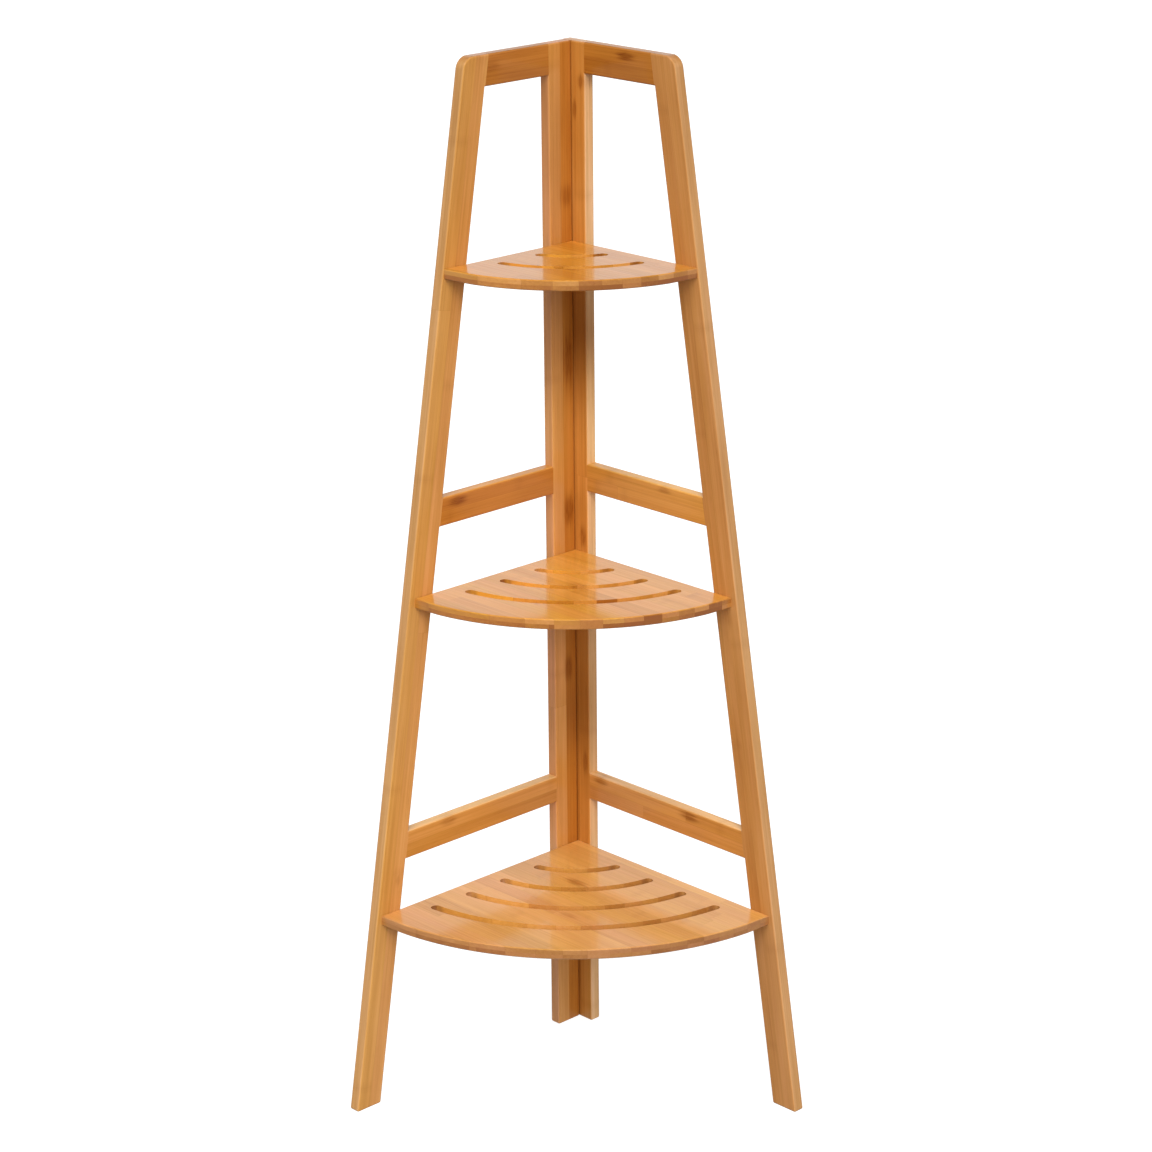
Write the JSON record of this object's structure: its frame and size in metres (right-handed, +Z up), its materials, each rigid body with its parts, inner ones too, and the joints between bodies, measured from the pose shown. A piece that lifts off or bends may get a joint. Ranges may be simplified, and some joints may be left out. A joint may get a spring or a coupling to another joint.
{
  "type": "corner shelf",
  "caption": "Tall free-standing bamboo corner shelf: two tapering side frames meet at a right angle and carry quarter-round slotted shelves that grow towards the floor.",
  "frame": {"origin": "floor level, at the middle of the square footprint", "axes": "+Z up; the room corner is at -X, +Y; the left frame stands against the wall on the -X side and the right frame against the wall on the +Y side; the shelves open towards +X, -Y"},
  "size_m": [0.3406, 0.3406, 1.1],
  "materials": {
    "frame_bamboo": "semi-gloss honey lacquer on laminated bamboo",
    "shelf_bamboo": "semi-gloss honey lacquer on laminated bamboo panel",
    "dowel_wood": "unfinished",
    "zinc_plated_steel": "zinc plated"
  },
  "bodies": {
    "root": {"left_post": "frame_bamboo", "left_leg": "frame_bamboo", "left_top_rail": "frame_bamboo", "left_middle_rail": "frame_bamboo", "left_lower_rail": "frame_bamboo", "right_post": "frame_bamboo", "right_leg": "frame_bamboo", "right_top_rail": "frame_bamboo", "right_middle_rail": "frame_bamboo", "right_lower_rail": "frame_bamboo", "top_shelf": "shelf_bamboo", "middle_shelf": "shelf_bamboo", "bottom_shelf": "shelf_bamboo", "left_top_rail_dowels": "dowel_wood", "left_middle_rail_dowels": "dowel_wood", "left_lower_rail_dowels": "dowel_wood", "right_top_rail_dowels": "dowel_wood", "right_middle_rail_dowels": "dowel_wood", "right_lower_rail_dowels": "dowel_wood", "top_shelf_screws": "zinc_plated_steel", "middle_shelf_screws": "zinc_plated_steel", "bottom_shelf_screws": "zinc_plated_steel", "post_screws": "zinc_plated_steel"}
  },
  "joints": []
}
